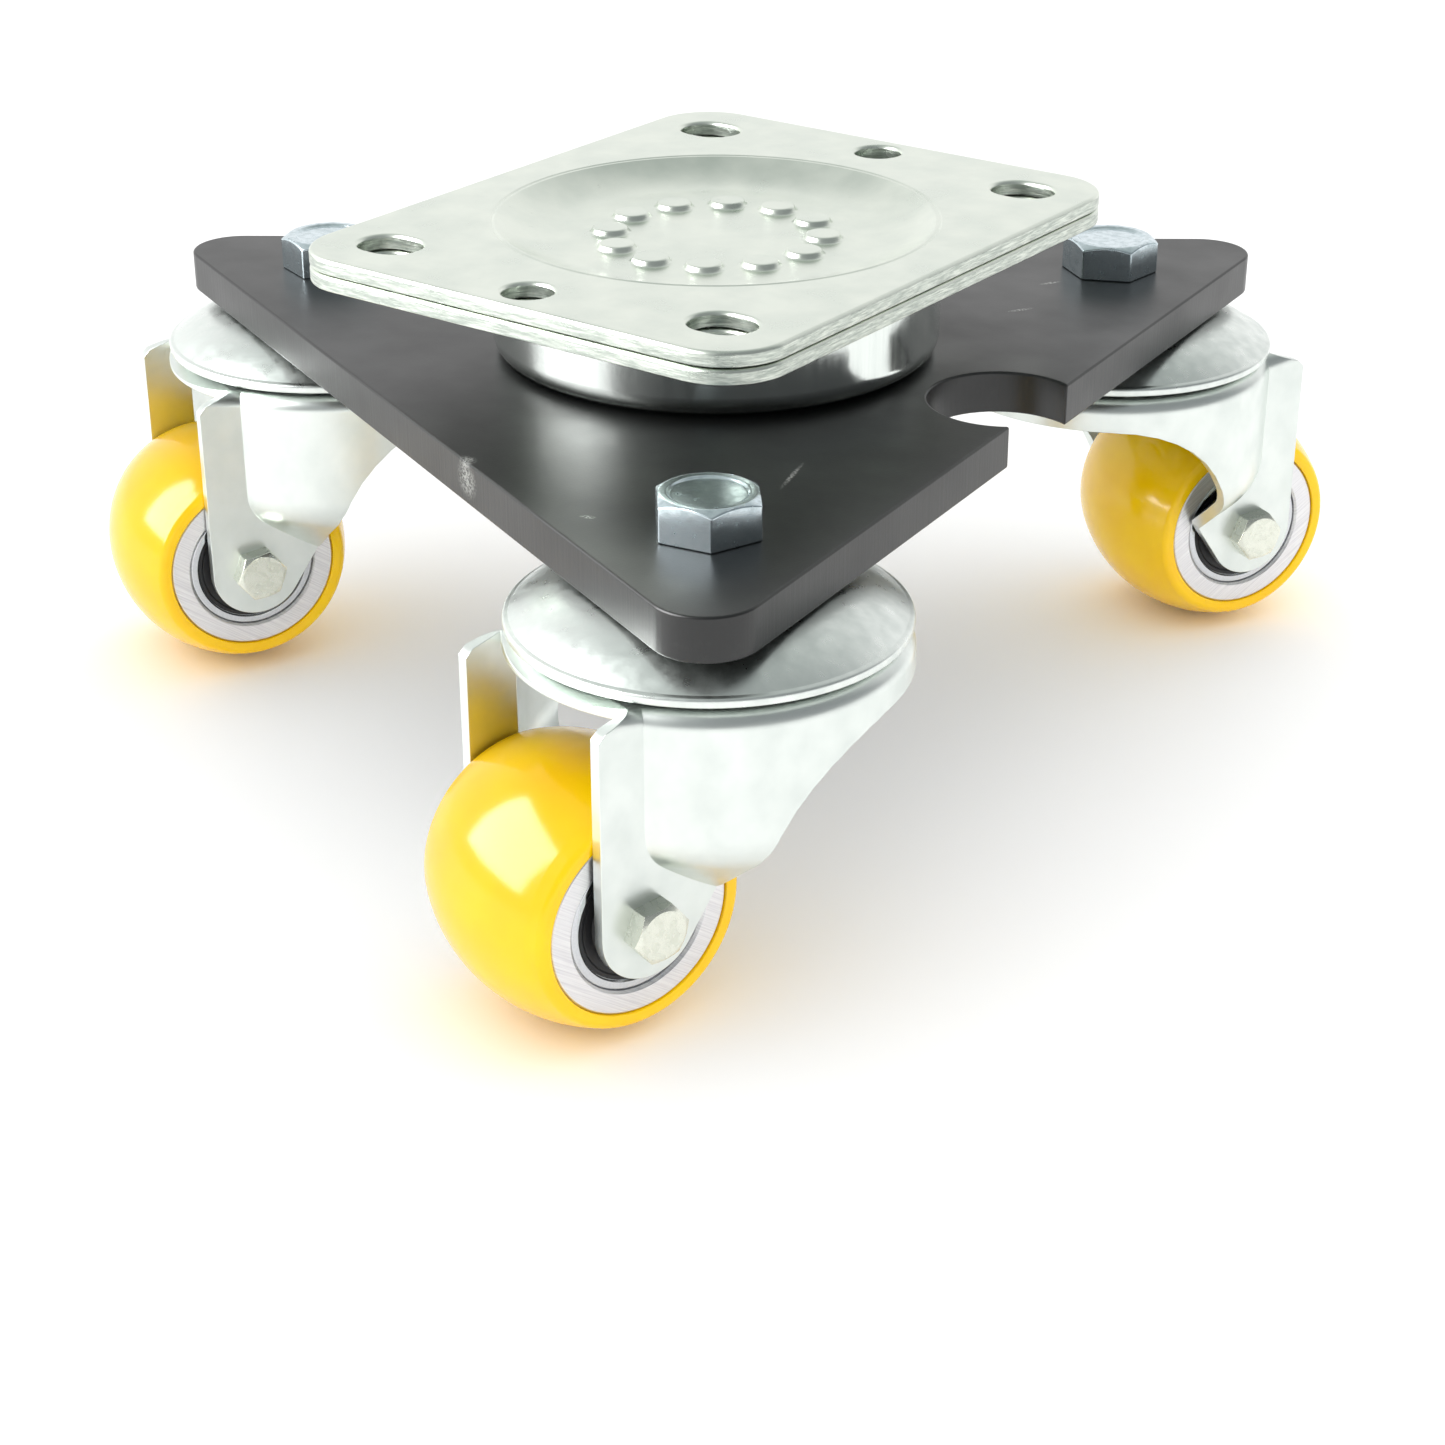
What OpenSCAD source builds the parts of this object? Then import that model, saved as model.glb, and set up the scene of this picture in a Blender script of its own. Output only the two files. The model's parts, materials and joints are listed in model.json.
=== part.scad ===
// Three-wheel swivel dolly: a turntable with a double mounting plate on a triangular
// base plate, carried by three swivel castors with crowned polyurethane wheels.
// Origin: centre of the mounting plate's top face, on the turntable axis, +Z up.

/* [Mounting plate] */
// Length of the mounting plate along Y
plate_len = 135; // [130:1:150]
// Width of the mounting plate along X
plate_wid = 110; // [106:1:120]
// Thickness of each of the two plates
plate_t = 3; // [2.5:0.1:3.5]
// Corner radius of the plates
plate_corner_r = 13; // [8:1:18]
// Slot spacing along X
slot_pitch_x = 80; // [74:1:82]
// Slot spacing along Y
slot_pitch_y = 105; // [102:1:108]
// Width of the corner slots
slot_w = 11; // [9:0.5:11]
// Overall length of the corner slots
slot_len = 13.5; // [12:0.5:14]
// Distance between the two round holes
round_hole_pitch = 118; // [112:1:119]
// Diameter of the round holes
round_hole_d = 10; // [8:0.5:11]

/* [Turntable] */
// Radius of the pressed dish at the plate's face
dish_r = 44; // [42:0.5:45]
// Depth of the dish
dish_depth = 4; // [3:0.5:4.5]
// Outer radius of the drum
drum_r = 45.5; // [45:0.5:50]
// Number of weld bosses in the dish
boss_count = 12; // [6:1:14]
// Diameter of the main balls
main_ball_d = 8; // [7:0.5:8]

/* [Base plate] */
// Distance from the turntable axis to each straight side
side_dist = 72.5; // [70:0.5:78]
// Thickness of the base plate
base_t = 8.5; // [6:0.5:9]
// Corner radius of the base plate
base_corner_r = 10; // [8:0.5:14]
// Distance from the turntable axis to each castor
castor_circle_r = 99; // [96:1:102]
// Radius of the notch that gives a tool access to the plate bolts
notch_r = 15; // [12:0.5:18]
// Angle of the front corner about the turntable axis
base_yaw = -54.5; // [-180:0.5:180]

/* [Castors] */
// Diameter of the wheel at its crown
wheel_d = 51; // [48:1:54]
// Width of the hub
hub_w = 37; // [34:1:37]
// Distance the axle trails behind the swivel axis
trail = 28.5; // [27:0.5:30]
// Distance from the top of the mounting plate down to the axles
axle_drop = 85.5; // [84:0.5:90]
// Thickness of the fork's sheet steel
fork_t = 2.5; // [2:0.1:2.6]
// Diameter of the castor bolts
bolt_d = 12; // [10:1:12]
// Swivel angle of the front castor, measured in the model's frame
front_swivel = 252.8; // [0:0.1:360]
// Swivel angle of the right castor
right_swivel = 60.1; // [0:0.1:360]
// Swivel angle of the left castor
left_swivel = 243; // [0:0.1:360]

/* [Hidden] */
$fn = 72;
eps = 0.01;
fit = 0.05;
run_fit = 0.05;
ball_gap = 0.1;

// heights, all from the top face of the mounting plate
plate_gap = 0.3;
lower_top = -plate_t - plate_gap;
lower_bot = lower_top - plate_t;
base_top = -26.5;
base_bot = base_top - base_t;
cap_rim = base_bot - 8;
crown_top = cap_rim - 1;
crown_bot = crown_top - fork_t;
axle_z = -axle_drop;
hub_half = hub_w / 2;

// dish and weld bosses
dish_floor_r = 31;
dish_border = 2;
boss_r = 4;
boss_h = 1.2;
boss_circle_r = 21.5;

// turntable inside
drum_wall = 2.5;
drum_bend = 4.5;
drum_top = lower_bot - 0.8;
main_ball_r = main_ball_d / 2;
main_ball_circle = 36;
main_ball_count = 26;
main_ball_z = lower_bot - 0.7 * dish_depth - main_ball_r + 0.6;
race_in_r = 31.5;
pin_flange_r = 26;
pin_flange_t = 3;
pin_r = 10;
pin_flange_top = lower_bot - dish_depth;
bush_r = 13;
bush_flange_r = 19;
bush_flange_t = 2;
king_washer_r = 18.5;
king_washer_t = 3;
king_nut_af = 30;
king_nut_h = 13;
thrust_z = base_bot - bush_flange_t - run_fit;

// the notch's centre lies this far inside the circle of the plate's slots
notch_inset = 1;

// castor head
head_af = bolt_d * 1.5;
head_h = bolt_d * 0.625;
cap_r = 36.3;
cap_t = 2.2;
cap_flat_r = 17;
cap_dome_r = 35.2;
cap_brim_drop = 6;
rivet_r = 9.5;
rivet_bore_r = bolt_d / 2 + 0.25;
swivel_ball_r = 2.8;
upper_row_r = 27.5;
upper_row_count = 28;
upper_row_z = crown_top + swivel_ball_r - 0.6;
lower_row_r = 15;
lower_ball_r = 2;
lower_row_count = 20;
lower_row_z = crown_bot - lower_ball_r + 0.6;
lower_race_r = 20;
lower_race_bot = lower_row_z - lower_ball_r - 1.5;
rivet_bot = lower_race_bot - 1.5;
washer_t = 2;
nut_h = bolt_d * 0.5;

// fork
leg_in = 19.2;
leg_out = leg_in + fork_t;
bell_r = 36.6;
bell_bend = 10;
lobe_r = 10;
back_x = trail + lobe_r;
// round cut that clears the wheel at the front of the legs, in X and height above the axle
trim_centre = [-17, 3.5];
trim_r = 31;
// where the bell's conical underside would meet the swivel axis, above the axle
bell_cone_z = -23;

// wheel and axle
tyre_half = 18.8;
tyre_edge_r = 20.9;
tyre_shoulder_r = 3;
hub_r = 18.5;
bearing_r = 14;
bearing_w = 8;
bearing_bore_r = 6;
bearing_ball_r = 2.4;
bearing_ball_circle = 10;
bearing_ball_count = 8;
outer_ring_in_r = 12;
inner_ring_out_r = 8;
bearing_face = hub_half - 0.6;
seal_t = 0.7;
axle_d = 6;
axle_head_h = 4;
axle_af = 10;
axle_nut_h = 5;

swivels = [front_swivel, right_swivel, left_swivel];
// side of each fork from which the axle bolt goes in
bolt_sides = [1, -1, 1];
// how far each castor bolt's head is turned from its corner's direction
head_turns = [4, 19, 34];

// ---- placing ----

// the frame of the base plate: +X points at the front corner
module in_base() {
  rotate([0, 0, base_yaw])
    children();
}

// the frame of castor k before it swivels, on its swivel axis
module at_corner(k) {
  in_base()
    rotate([0, 0, 120 * k])
      translate([castor_circle_r, 0, 0])
        children();
}

// the frame of fork k: +X trails towards the axle
module in_fork(k) {
  at_corner(k)
    rotate([0, 0, swivels[k] - base_yaw - 120 * k])
      children();
}

// the frame of wheel k: the axle lies along Z, and +Z is the bolt head's side
module in_wheel(k) {
  in_fork(k)
    translate([trail, 0, axle_z])
      rotate([-90 * bolt_sides[k], 0, 0])
        children();
}

// ---- shapes that repeat ----

module ring(r_out, r_in, z_low, z_high) {
  translate([0, 0, z_low])
    difference() {
      cylinder(r = r_out, h = z_high - z_low);
      translate([0, 0, -1])
        cylinder(r = r_in, h = z_high - z_low + 2);
    }
}

// a hexagon prism with its corners turned to a cone on the free side
module hex_head(af, h, cone_drop) {
  corner_r = af / sqrt(3);
  intersection() {
    cylinder(r = corner_r, h = h, $fn = 6);
    rotate_extrude()
      polygon([
        [0, 0], [corner_r + 1, 0], [corner_r + 1, h - cone_drop - 0.4],
        [af / 2 - 0.4, h], [0, h]
      ]);
  }
}

module ball_row(count, circle_r, ball_r, z) {
  for (i = [0 : count - 1])
    rotate([0, 0, i * 360 / count])
      translate([circle_r, 0, z])
        sphere(r = ball_r, $fn = 32);
}

// the groove that a row of balls runs in
module ball_groove(circle_r, ball_r, z) {
  rotate_extrude()
    translate([circle_r, z])
      circle(r = ball_r + ball_gap, $fn = 48);
}

// ---- mounting plate ----

module plate_outline() {
  mid_x = plate_wid / 2 - plate_corner_r;
  mid_y = plate_len / 2 - plate_corner_r;
  square([plate_wid, 2 * mid_y], center = true);
  square([2 * mid_x, plate_len], center = true);
  for (sx = [-1, 1], sy = [-1, 1])
    translate([sx * mid_x, sy * mid_y])
      circle(r = plate_corner_r);
}

module slot_outline() {
  travel = slot_len - slot_w;
  square([travel, slot_w], center = true);
  for (s = [-1, 1])
    translate([s * travel / 2, 0])
      circle(d = slot_w);
}

module plate_holes() {
  for (sx = [-1, 1], sy = [-1, 1])
    translate([sx * slot_pitch_x / 2, sy * slot_pitch_y / 2])
      slot_outline();
  for (s = [-1, 1])
    translate([0, s * round_hole_pitch / 2])
      circle(d = round_hole_d);
}

// height of the dish's face: steep at the rim, running out smoothly into the flat floor
function dish_z(r) =
  let (part = (r - dish_floor_r) / (dish_r - dish_floor_r))
    -dish_depth * (1 - part * part);

// half section of the dished middle, from the axis out past the dish's rim
module dish_section(top, thickness) {
  slope_r = [for (r = [dish_floor_r : dish_r]) r];
  steps = len(slope_r) - 1;
  rim_r = dish_r + dish_border;
  polygon(concat(
    [[0, top - dish_depth]],
    [for (r = slope_r) [r, top + dish_z(r)]],
    [[rim_r, top], [rim_r, top - thickness]],
    [for (i = [steps : -1 : 0]) [slope_r[i], top - thickness + dish_z(slope_r[i])]],
    [[0, top - dish_depth - thickness]]
  ));
}

module dished_plate(top) {
  translate([0, 0, top - plate_t])
    linear_extrude(plate_t)
      difference() {
        plate_outline();
        plate_holes();
        circle(r = dish_r + dish_border - 1);
      }
  rotate_extrude()
    dish_section(top, plate_t);
}

module upper_plate() {
  color([0.86, 0.88, 0.86]) {
    dished_plate(0);
    for (i = [0 : boss_count - 1])
      rotate([0, 0, i * 360 / boss_count + 30])
        translate([boss_circle_r, 0, -dish_depth - eps])
          cylinder(r1 = boss_r, r2 = boss_r - 0.8, h = boss_h);
  }
}

module lower_plate() {
  color([0.84, 0.86, 0.84])
    difference() {
      dished_plate(lower_top);
      ball_groove(main_ball_circle, main_ball_r, main_ball_z);
    }
}

// ---- turntable ----

module king_pin() {
  color([0.7, 0.71, 0.72])
    union() {
      translate([0, 0, pin_flange_top - pin_flange_t])
        cylinder(r = pin_flange_r, h = pin_flange_t);
      translate([0, 0, thrust_z - king_washer_t - king_nut_h - 3])
        cylinder(r = pin_r, h = pin_flange_top - thrust_z + king_washer_t + king_nut_h + 2);
    }
}

module king_washer() {
  color([0.8, 0.8, 0.8])
    ring(king_washer_r, pin_r, thrust_z - king_washer_t, thrust_z);
}

module king_nut() {
  color([0.75, 0.77, 0.8])
    difference() {
      translate([0, 0, thrust_z - king_washer_t])
        rotate([180, 0, 0])
          hex_head(king_nut_af, king_nut_h, 1.6);
      translate([0, 0, thrust_z - king_washer_t - king_nut_h - 1])
        cylinder(r = pin_r, h = king_nut_h + 2);
    }
}

module turntable_balls() {
  color([0.8, 0.82, 0.85])
    ball_row(main_ball_count, main_ball_circle, main_ball_r, main_ball_z);
}

// drawn steel cup that hides the ball race
module drum() {
  color([0.86, 0.88, 0.88])
    rotate_extrude() {
      translate([bush_r + fit, base_top])
        square([drum_r - drum_bend - bush_r - fit, drum_wall]);
      translate([drum_r - drum_wall, base_top + drum_bend])
        square([drum_wall, drum_top - base_top - drum_bend]);
      translate([drum_r - drum_bend, base_top + drum_bend])
        intersection() {
          translate([0, -drum_bend])
            square(drum_bend);
          difference() {
            circle(r = drum_bend);
            circle(r = drum_bend - drum_wall);
          }
        }
    }
}

// turned ring inside the drum that the main balls run on
module drum_race() {
  race_bot = base_top + drum_wall;
  race_out_r = drum_r - drum_wall - fit;
  race_top = main_ball_z - 0.8;
  color([0.6, 0.62, 0.64])
    difference() {
      rotate_extrude()
        polygon([
          [race_in_r, race_bot], [race_out_r - 2.4, race_bot], [race_out_r, race_bot + 2.4],
          [race_out_r, race_top], [race_in_r, race_top]
        ]);
      ball_groove(main_ball_circle, main_ball_r, main_ball_z);
    }
}

// plain bearing between the king pin and the base plate
module king_bush() {
  color([0.72, 0.55, 0.3])
    difference() {
      union() {
        translate([0, 0, base_bot])
          cylinder(r = bush_r, h = base_top + drum_wall - base_bot);
        translate([0, 0, base_bot - bush_flange_t])
          cylinder(r = bush_flange_r, h = bush_flange_t);
      }
      translate([0, 0, base_bot - bush_flange_t - 1])
        cylinder(r = pin_r + run_fit, h = base_t + drum_wall + bush_flange_t + 2);
    }
}

// ---- base plate ----

// triangle with round corners: +X corner first, sides side_dist from the centre
module base_outline() {
  arc_centre = 2 * (side_dist - base_corner_r);
  polygon([
    for (k = [0 : 2], s = [-60, 60])
      [
        arc_centre * cos(120 * k) + base_corner_r * cos(120 * k + s),
        arc_centre * sin(120 * k) + base_corner_r * sin(120 * k + s)
      ]
  ]);
  for (k = [0 : 2])
    rotate(120 * k)
      translate([arc_centre, 0])
        circle(r = base_corner_r);
}

module base_plate() {
  notch_centre = norm([slot_pitch_x, slot_pitch_y]) / 2 - notch_inset;
  color([0.13, 0.13, 0.13])
    in_base()
      translate([0, 0, base_bot])
        linear_extrude(base_t)
          difference() {
            base_outline();
            circle(r = bush_r);
            rotate(60)
              translate([notch_centre, 0])
                circle(r = notch_r);
            for (k = [0 : 2])
              rotate(120 * k)
                translate([castor_circle_r, 0])
                  circle(d = bolt_d + 0.5);
          }
}

// ---- castor fasteners ----

module castor_bolts() {
  shank = base_top - rivet_bot + washer_t + nut_h + 1;
  color([0.72, 0.77, 0.82])
    for (k = [0 : 2])
      at_corner(k)
        translate([0, 0, base_top])
          rotate([0, 0, head_turns[k]]) {
            difference() {
              hex_head(head_af, head_h, 1.2);
              translate([0, 0, head_h - 0.5])
                cylinder(r1 = head_af / 2 - 2.2, r2 = head_af / 2 - 1.6, h = 0.6);
            }
            translate([0, 0, -shank])
              cylinder(d = bolt_d, h = shank + eps);
          }
}

module castor_washers() {
  color([0.8, 0.82, 0.84])
    for (k = [0 : 2])
      at_corner(k)
        ring(bolt_d, rivet_bore_r, rivet_bot - washer_t, rivet_bot);
}

module castor_nuts() {
  color([0.75, 0.78, 0.82])
    for (k = [0 : 2])
      at_corner(k)
        difference() {
          translate([0, 0, rivet_bot - washer_t])
            rotate([180, 0, 20])
              hex_head(head_af, nut_h, 1.2);
          translate([0, 0, rivet_bot - washer_t - nut_h - 1])
            cylinder(d = bolt_d, h = nut_h + 2);
        }
}

// hollow rivets that hold each castor head together
module king_rivets() {
  color([0.78, 0.8, 0.8])
    for (k = [0 : 2])
      at_corner(k)
        difference() {
          union() {
            ring(rivet_r, rivet_bore_r, rivet_bot, base_bot);
            ring(rivet_r + 3, rivet_bore_r, rivet_bot, lower_race_bot);
          }
          translate([0, 0, rivet_bot - 1])
            cylinder(r = rivet_bore_r, h = base_bot - rivet_bot + 2);
        }
}

module lower_races() {
  color([0.72, 0.74, 0.75])
    for (k = [0 : 2])
      at_corner(k)
        difference() {
          rotate_extrude()
            polygon([
              [rivet_r, lower_race_bot], [lower_race_r - 3, lower_race_bot],
              [lower_race_r, lower_race_bot + 3], [lower_race_r, crown_bot - 0.5],
              [lower_race_r - 1.5, crown_bot - 0.5], [lower_race_r - 3, lower_row_z],
              [rivet_r, lower_row_z]
            ]);
          ball_groove(lower_row_r, lower_ball_r, lower_row_z);
        }
}

// ---- castor head ----

// domed steel cap with a flat brim, the fixed upper race
module cap(k) {
  color([0.85, 0.87, 0.87])
    at_corner(k)
      difference() {
        rotate_extrude()
          difference() {
            union() {
              dome_section(0);
              translate([cap_flat_r, cap_rim])
                square([cap_r - cap_flat_r, base_bot - cap_brim_drop - cap_rim]);
            }
            dome_section(cap_t);
            translate([0, cap_rim - 1])
              square([rivet_r, base_bot - cap_rim + 2]);
          }
        ball_groove(upper_row_r, swivel_ball_r, upper_row_z);
      }
}

// half section of the dome: flat in the middle, then an arc down to the brim
module dome_section(inset) {
  reach = cap_dome_r - cap_flat_r;
  arc_r = (reach * reach + cap_brim_drop * cap_brim_drop) / (2 * cap_brim_drop);
  translate([0, cap_rim - inset])
    square([cap_flat_r, base_bot - cap_rim]);
  intersection() {
    translate([cap_flat_r, base_bot - arc_r])
      circle(r = arc_r - inset);
    translate([cap_flat_r, cap_rim - inset])
      square([reach - inset, base_bot - cap_rim + inset]);
  }
}

module swivel_balls(k) {
  color([0.8, 0.82, 0.85])
    at_corner(k) {
      ball_row(upper_row_count, upper_row_r, swivel_ball_r, upper_row_z);
      ball_row(lower_row_count, lower_row_r, lower_ball_r, lower_row_z);
    }
}

// ---- fork ----

// side view of the fork in X and height above the axle, without the legs' round ends
module leg_outline() {
  top = crown_top - axle_z;
  // the cut ends in a knee, and the straight edge from there runs on as a tangent of the lobe
  knee = trim_centre + [trim_r, 0];
  to_knee = knee - [trail, 0];
  tangent_at = atan2(to_knee.y, to_knee.x) + acos(lobe_r / norm(to_knee));
  polygon(concat(
    [
      [bell_r - 6, top], [back_x - 1.5, top - 2], [back_x, top - 3.5], [back_x, 0], [trail, 0],
      [trail + lobe_r * cos(tangent_at), lobe_r * sin(tangent_at)]
    ],
    [for (a = [0 : 9 : 90]) trim_centre + trim_r * [cos(a), sin(a)]],
    [[-bell_r - 1, trim_centre.y + trim_r + 0.5], [-bell_r - 1, top]]
  ));
}

// half section of the bell in radius and height above the axle: a wall, a round bend
// and a conical underside; grow is the sheet's thickness for the outside, 0 for the inside
module bell_section(grow) {
  top = crown_top - axle_z;
  bend_x = bell_r - bell_bend;
  bend_z = bend_x + bell_cone_z + sqrt(2) * bell_bend;
  bend_r = bell_bend - fork_t + grow;
  tangent = bend_r / sqrt(2);
  polygon([
    [0, bend_z - bend_x - 2 * tangent], [bend_x + tangent, bend_z - tangent],
    [bend_x, bend_z], [bend_x + bend_r, bend_z], [bend_x + bend_r, top], [0, top]
  ]);
  translate([bend_x, bend_z])
    circle(r = bend_r);
}

// the space that the bell and the legs fill
module fork_body(grow) {
  half = leg_in + grow;
  translate([0, -half, axle_z - lobe_r - 1])
    cube([back_x + 1, 2 * half, crown_top - axle_z + lobe_r + 1]);
  translate([0, 0, axle_z])
    rotate_extrude()
      bell_section(grow);
}

// pressed from one sheet: a round crown, a bell round the swivel axis and two flat legs
module fork(k) {
  reach = 60;
  color([0.88, 0.9, 0.88])
    in_fork(k)
      difference() {
        union() {
          intersection() {
            fork_body(fork_t);
            translate([0, reach, axle_z])
              rotate([90, 0, 0])
                linear_extrude(2 * reach)
                  leg_outline();
          }
          // the round lower ends of the legs
          translate([trail, leg_in + fork_t, axle_z])
            rotate([90, 0, 0])
              cylinder(r = lobe_r, h = 2 * (leg_in + fork_t));
        }
        // the inside, open below and at the back
        intersection() {
          fork_body(0);
          translate([-reach, -reach, axle_z - reach])
            cube([2 * reach, 2 * reach, crown_bot - axle_z + reach]);
        }
        // the crown's round back edge, between the legs
        difference() {
          translate([0, -leg_in, crown_bot - 1])
            cube([reach, 2 * leg_in, fork_t + 2]);
          translate([0, 0, crown_bot - 2])
            cylinder(r = bell_r, h = fork_t + 4);
        }
        translate([0, 0, crown_bot - 1])
          cylinder(r = rivet_r + 0.6, h = fork_t + 2);
        ball_groove(upper_row_r, swivel_ball_r, upper_row_z);
        ball_groove(lower_row_r, lower_ball_r, lower_row_z);
        translate([trail, reach, axle_z])
          rotate([90, 0, 0])
            cylinder(d = axle_d, h = 2 * reach);
      }
}

// ---- wheel ----

// half section of the tyre: a crowned tread with a round shoulder at each side
module tyre_section() {
  sag = wheel_d / 2 - tyre_edge_r;
  crown_arc_r = (tyre_half * tyre_half + sag * sag) / (2 * sag);
  crown_x = wheel_d / 2 - crown_arc_r;
  shoulder_z = tyre_half - tyre_shoulder_r;
  shoulder_x = crown_x + sqrt(pow(crown_arc_r - tyre_shoulder_r, 2) - pow(shoulder_z, 2));
  far = 3 * (shoulder_x - crown_x);
  difference() {
    union() {
      intersection() {
        translate([crown_x, 0])
          circle(r = crown_arc_r, $fn = 180);
        polygon([
          [crown_x, 0], [crown_x + far, -3 * shoulder_z], [crown_x + far, 3 * shoulder_z]
        ]);
      }
      for (s = [-1, 1])
        translate([shoulder_x, s * shoulder_z])
          circle(r = tyre_shoulder_r);
      translate([shoulder_x - 5, -tyre_half])
        square([5, 2 * tyre_half]);
      translate([shoulder_x - 5, -shoulder_z])
        square([5 + tyre_shoulder_r / 2, 2 * shoulder_z]);
    }
    translate([-wheel_d, -wheel_d])
      square([wheel_d + hub_r, 2 * wheel_d]);
  }
}

module tyre(k) {
  color([0.98, 0.8, 0.05])
    in_wheel(k)
      rotate_extrude()
        tyre_section();
}

module hub(k) {
  seat = bearing_face - bearing_w;
  color([0.85, 0.84, 0.84])
    in_wheel(k)
      difference() {
        translate([0, 0, -hub_half])
          cylinder(r = hub_r, h = hub_w);
        translate([0, 0, -hub_half - 1])
          cylinder(r = 11.5, h = hub_w + 2);
        for (s = [0, 180])
          rotate([s, 0, 0])
            translate([0, 0, seat])
              cylinder(r = bearing_r, h = bearing_w + 2);
      }
}

// draws its children for both bearings of a wheel, outer face towards +Z
module both_bearings(k) {
  in_wheel(k)
    for (s = [0, 180])
      rotate([s, 0, 0])
        translate([0, 0, bearing_face - bearing_w])
          children();
}

module outer_rings(k) {
  color([0.82, 0.83, 0.84])
    both_bearings(k)
      difference() {
        ring(bearing_r, outer_ring_in_r, 0, bearing_w);
        ball_groove(bearing_ball_circle, bearing_ball_r, bearing_w / 2);
      }
}

module seals(k) {
  color([0.08, 0.08, 0.08])
    both_bearings(k) {
      ring(outer_ring_in_r, inner_ring_out_r + ball_gap, bearing_w - 0.3 - seal_t, bearing_w - 0.3);
      ring(outer_ring_in_r, inner_ring_out_r + ball_gap, 0.3, 0.3 + seal_t);
    }
}

module bearing_balls(k) {
  color([0.8, 0.82, 0.85])
    both_bearings(k)
      ball_row(bearing_ball_count, bearing_ball_circle, bearing_ball_r, bearing_w / 2);
}

module inner_rings(k) {
  color([0.82, 0.83, 0.84])
    both_bearings(k)
      difference() {
        ring(inner_ring_out_r, bearing_bore_r, 0, bearing_w);
        ball_groove(bearing_ball_circle, bearing_ball_r, bearing_w / 2);
      }
}

module spacer(k) {
  half = bearing_face - bearing_w;
  color([0.7, 0.72, 0.74])
    in_wheel(k)
      ring(inner_ring_out_r, bearing_bore_r, -half, half);
}

// the tube that the bearings sit on, clamped between the legs
module axle_tube(k) {
  color([0.75, 0.77, 0.78])
    in_wheel(k)
      ring(bearing_bore_r, axle_d / 2, -leg_in, leg_in);
}

module axle_bolt(k) {
  length = leg_out + axle_nut_h + 2;
  color([0.82, 0.85, 0.83])
    in_wheel(k) {
      translate([0, 0, leg_out])
        rotate([0, 0, 8])
          hex_head(axle_af, axle_head_h, 0.9);
      translate([0, 0, -length])
        cylinder(d = axle_d, h = length + leg_out + eps);
    }
}

module axle_nut(k) {
  color([0.8, 0.83, 0.82])
    in_wheel(k)
      rotate([180, 0, 0])
        translate([0, 0, leg_out])
          difference() {
            hex_head(axle_af, axle_nut_h, 0.9);
            translate([0, 0, -1])
              cylinder(d = axle_d, h = axle_nut_h + 2);
          }
}

upper_plate();
lower_plate();
king_pin();
king_washer();
king_nut();
turntable_balls();
drum();
drum_race();
king_bush();
base_plate();
castor_bolts();
castor_washers();
castor_nuts();
king_rivets();
lower_races();
cap(0);  // cap_front
cap(1);  // cap_right
cap(2);  // cap_left
swivel_balls(0);  // swivel_balls_front
swivel_balls(1);  // swivel_balls_right
swivel_balls(2);  // swivel_balls_left
fork(0);  // fork_front
fork(1);  // fork_right
fork(2);  // fork_left
tyre(0);  // tyre_front
tyre(1);  // tyre_right
tyre(2);  // tyre_left
hub(0);  // hub_front
hub(1);  // hub_right
hub(2);  // hub_left
outer_rings(0);  // outer_rings_front
outer_rings(1);  // outer_rings_right
outer_rings(2);  // outer_rings_left
seals(0);  // seals_front
seals(1);  // seals_right
seals(2);  // seals_left
bearing_balls(0);  // bearing_balls_front
bearing_balls(1);  // bearing_balls_right
bearing_balls(2);  // bearing_balls_left
inner_rings(0);  // inner_rings_front
inner_rings(1);  // inner_rings_right
inner_rings(2);  // inner_rings_left
spacer(0);  // spacer_front
spacer(1);  // spacer_right
spacer(2);  // spacer_left
axle_tube(0);  // axle_tube_front
axle_tube(1);  // axle_tube_right
axle_tube(2);  // axle_tube_left
axle_bolt(0);  // axle_bolt_front
axle_bolt(1);  // axle_bolt_right
axle_bolt(2);  // axle_bolt_left
axle_nut(0);  // axle_nut_front
axle_nut(1);  // axle_nut_right
axle_nut(2);  // axle_nut_left
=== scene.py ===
# Three-wheel swivel dolly: finishes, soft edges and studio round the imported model.
import json
import math

import bmesh
import bpy
from mathutils import Matrix, Vector


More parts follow.
